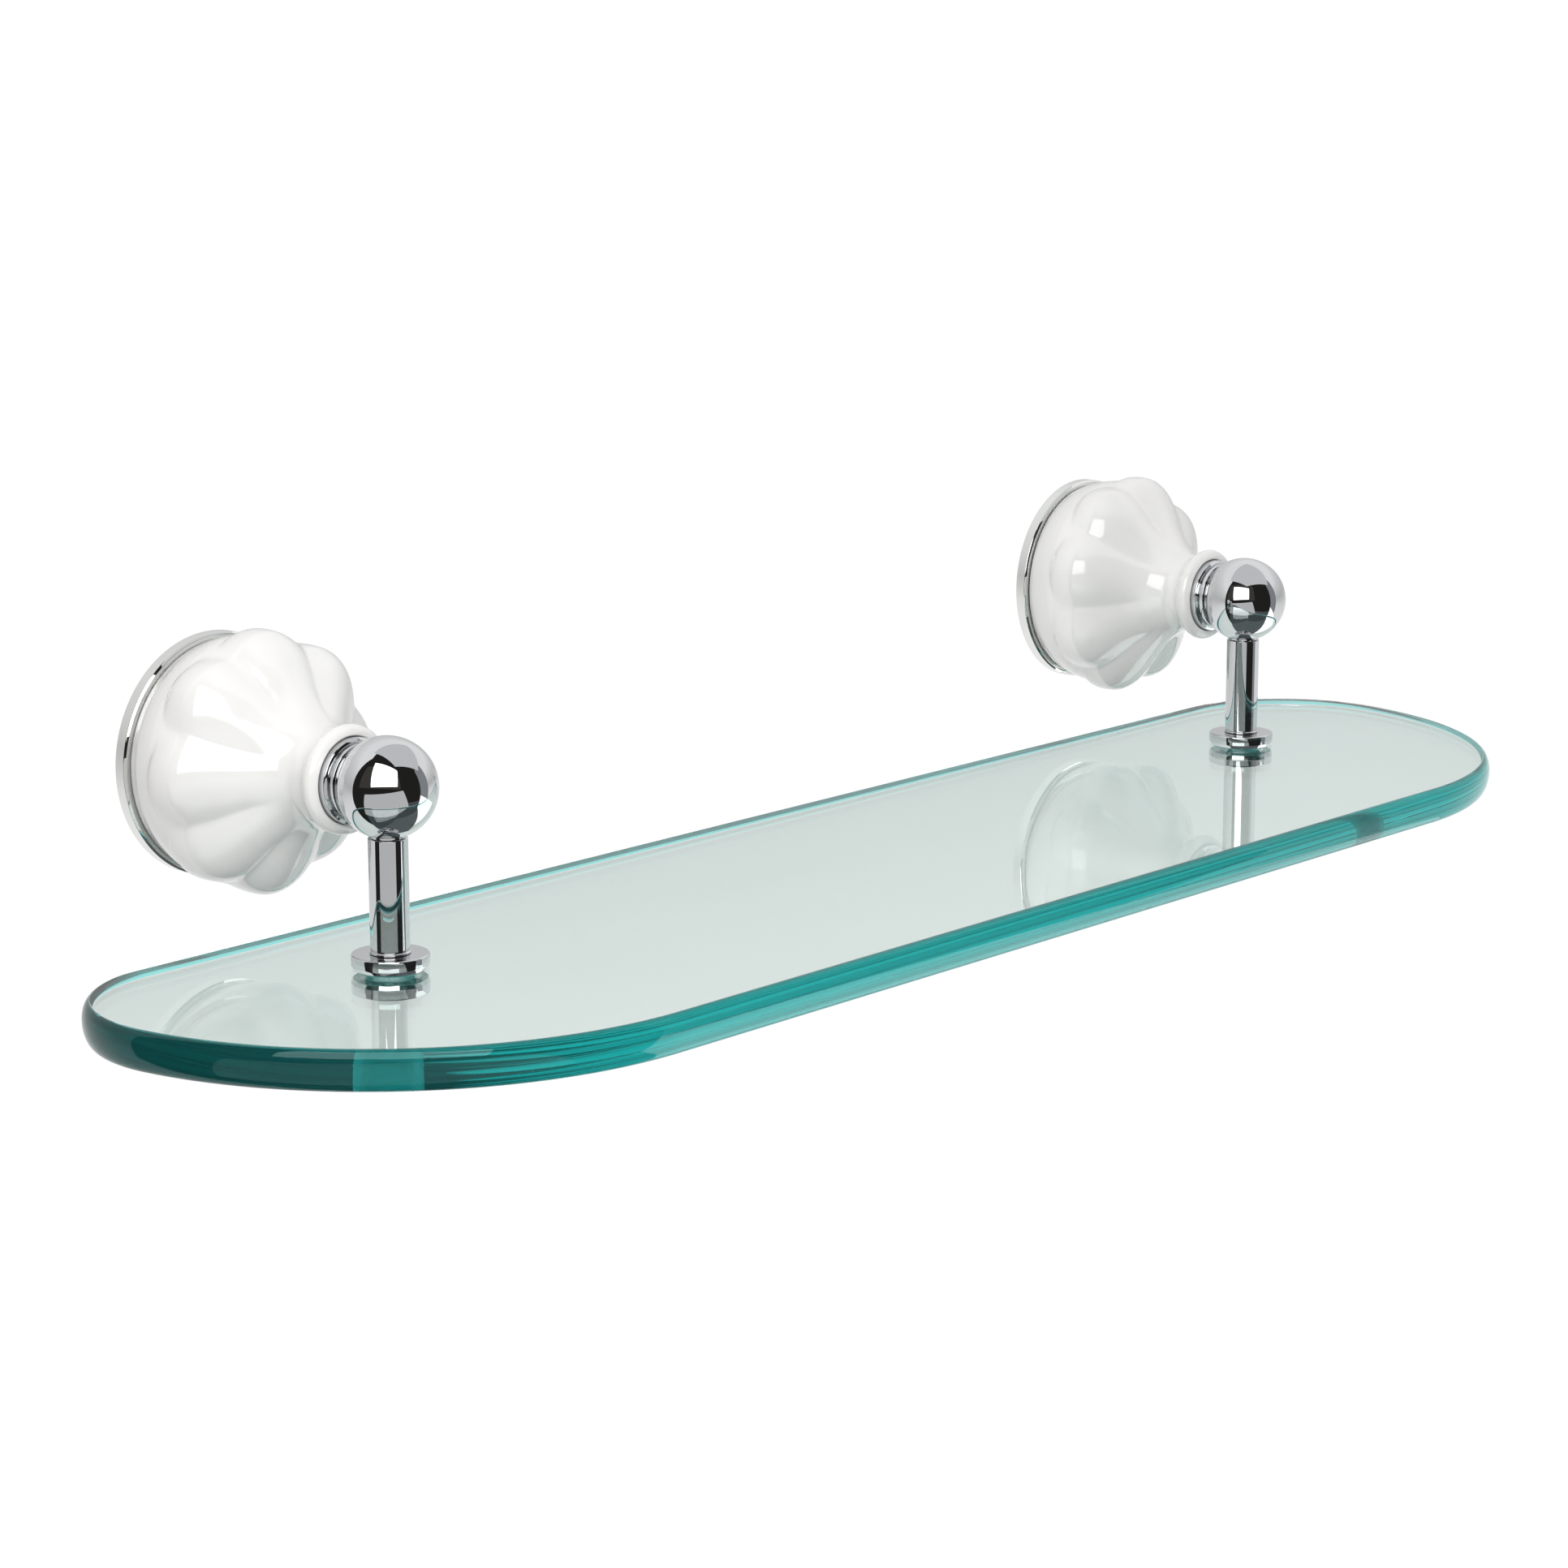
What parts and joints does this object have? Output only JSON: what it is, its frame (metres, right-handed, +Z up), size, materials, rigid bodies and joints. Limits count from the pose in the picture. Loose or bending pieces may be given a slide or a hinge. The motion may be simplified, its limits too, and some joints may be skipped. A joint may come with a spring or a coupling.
{
  "type": "glass wall shelf",
  "caption": "Bathroom wall shelf: a teal-edged glass pane with rounded ends, hung by chrome posts and balls from fluted white china rosettes with chrome wall rings.",
  "frame": {"origin": "on the wall plane, midway between the two brackets, level with the balls' centres", "axes": "+X along the shelf, +Y into the wall, +Z up"},
  "size_m": [0.5, 0.1417, 0.0896],
  "materials": {
    "glass": "polished",
    "chrome": "polished",
    "china": "gloss",
    "steel": "satin",
    "clear": "satin",
    "wall_gasket": "matte",
    "nylon": "satin"
  },
  "bodies": {
    "shelf": {"glass_shelf": "glass", "left_wall_plate": "steel", "left_wall_ring": "chrome", "left_wall_gasket": "wall_gasket", "left_rosette": "china", "left_tie_rod": "steel", "left_neck_washer": "clear", "left_collar": "chrome", "left_ball": "chrome", "left_post": "chrome", "left_flange": "chrome", "left_upper_gasket": "clear", "left_bush": "nylon", "right_wall_plate": "steel", "right_wall_ring": "chrome", "right_wall_gasket": "wall_gasket", "right_rosette": "china", "right_tie_rod": "steel", "right_neck_washer": "clear", "right_collar": "chrome", "right_ball": "chrome", "right_post": "chrome", "right_flange": "chrome", "right_upper_gasket": "clear", "right_bush": "nylon"},
    "left_gasket": {"left_lower_gasket": "clear"},
    "left_screw": {"left_clamp_screw": "chrome"},
    "right_gasket": {"right_lower_gasket": "clear"},
    "right_screw": {"right_clamp_screw": "chrome"}
  },
  "joints": [
    {"name": "left_gasket_drop", "type": "slide", "parent": "shelf", "child": "left_gasket", "axis": [0, 0, -1], "range_m": [0, 0.0081]},
    {"name": "left_screw_turn", "type": "hinge", "parent": "left_gasket", "child": "left_screw", "pos_m": [-0.1735, -0.062, -0.054], "axis": [0, 0, -1], "range_deg": [0, 2880]},
    {"name": "right_gasket_drop", "type": "slide", "parent": "shelf", "child": "right_gasket", "axis": [0, 0, -1], "range_m": [0, 0.0081]},
    {"name": "right_screw_turn", "type": "hinge", "parent": "right_gasket", "child": "right_screw", "pos_m": [0.1735, -0.062, -0.054], "axis": [0, 0, -1], "range_deg": [0, 2880]}
  ],
  "couplings": [
    {"joint": "left_gasket_drop", "follows": "left_screw_turn", "m_per_rad": 0.00015915},
    {"joint": "right_gasket_drop", "follows": "right_screw_turn", "m_per_rad": 0.00015915}
  ]
}
